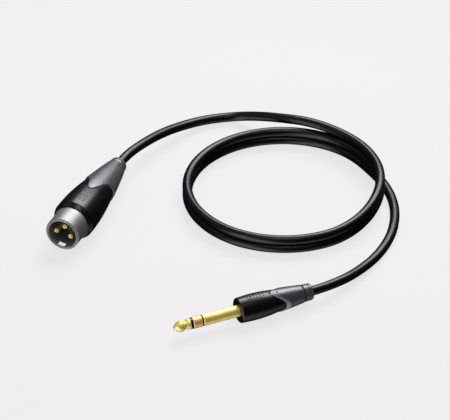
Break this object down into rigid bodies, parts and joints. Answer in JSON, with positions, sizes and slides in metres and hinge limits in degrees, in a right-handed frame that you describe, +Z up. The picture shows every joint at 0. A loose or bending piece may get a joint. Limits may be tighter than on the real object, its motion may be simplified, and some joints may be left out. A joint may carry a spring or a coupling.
{
  "type": "xlr cable coil",
  "caption": "Coiled balanced audio lead with a male three pin XLR connector on one end and a 6.35 mm stereo jack plug on the other.",
  "frame": {"origin": "under the middle of the box of the two connectors, on the surface that everything lies on", "axes": "+Z up; the XLR connector's open mouth faces -Y, and +X runs across towards the jack plug"},
  "size_m": [0.1698, 0.203, 0.023],
  "materials": {
    "satin_nickel": "satin nickel plating on a drawn steel tube",
    "gold_plate": "polished gold plating on brass",
    "black_nylon": "black glass filled nylon with a soft satin surface",
    "grey_nylon": "dark grey moulded nylon, satin",
    "clamp_nylon": "natural acetal, matt",
    "cable_jacket": "black flexible PVC jacket with a soft sheen",
    "core_red": "red core insulation",
    "core_white": "white core insulation",
    "copper_screen": "bare twisted copper"
  },
  "bodies": {
    "root": {"cable_coil": "cable_jacket", "cable_jack_lead": "cable_jacket", "cable_xlr_lead": "cable_jacket", "jack_cable_tail": "cable_jacket", "jack_chuck": "clamp_nylon", "jack_end_ring": "grey_nylon", "jack_front_body": "black_nylon", "jack_insulator_front": "black_nylon", "jack_insulator_rear": "black_nylon", "jack_liner": "clamp_nylon", "jack_lug_ring": "satin_nickel", "jack_lug_tip": "satin_nickel", "jack_rear_body": "grey_nylon", "jack_ring": "gold_plate", "jack_sleeve": "gold_plate", "jack_tip": "gold_plate", "jack_washer_ring": "clamp_nylon", "jack_washer_tip": "clamp_nylon", "jack_wire_cold": "core_white", "jack_wire_hot": "core_red", "jack_wire_screen": "copper_screen", "xlr_cable_tail": "cable_jacket", "xlr_chuck": "clamp_nylon", "xlr_end_ring": "grey_nylon", "xlr_front_body": "black_nylon", "xlr_ground_ring": "satin_nickel", "xlr_insert": "black_nylon", "xlr_pin_1": "gold_plate", "xlr_pin_2": "gold_plate", "xlr_pin_3": "gold_plate", "xlr_rear_body": "grey_nylon", "xlr_shell": "satin_nickel", "xlr_wire_cold": "core_white", "xlr_wire_hot": "core_red", "xlr_wire_screen": "copper_screen"}
  },
  "joints": []
}
